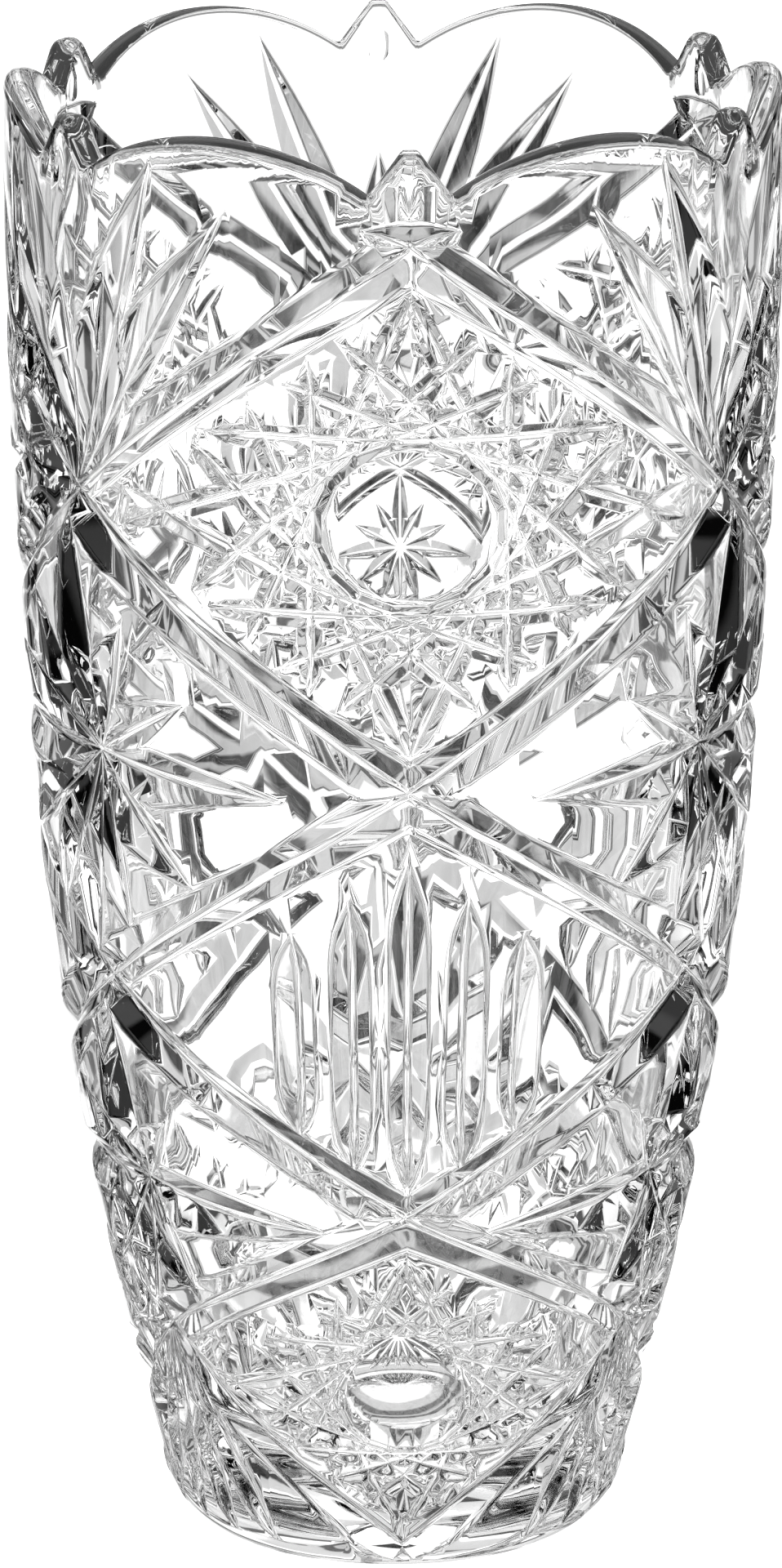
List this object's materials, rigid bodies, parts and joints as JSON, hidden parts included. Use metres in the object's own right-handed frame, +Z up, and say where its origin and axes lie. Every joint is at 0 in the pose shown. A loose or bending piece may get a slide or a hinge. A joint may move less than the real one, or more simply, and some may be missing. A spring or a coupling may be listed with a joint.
{
  "type": "vase",
  "caption": "Tall tapered vase of thick clear cut glass with a scalloped rim, deep lattice grooves, star rosettes, ray fans and upright flutes.",
  "frame": {"origin": "centre of the foot, on the surface the vase stands on", "axes": "+Z up along the axis of the vase, -Y towards the front diamond column, +X to its right"},
  "size_m": [0.1292, 0.1293, 0.25],
  "materials": {
    "crystal_glass": "clear, polished"
  },
  "bodies": {
    "root": {"vase_body": "crystal_glass"}
  },
  "joints": []
}
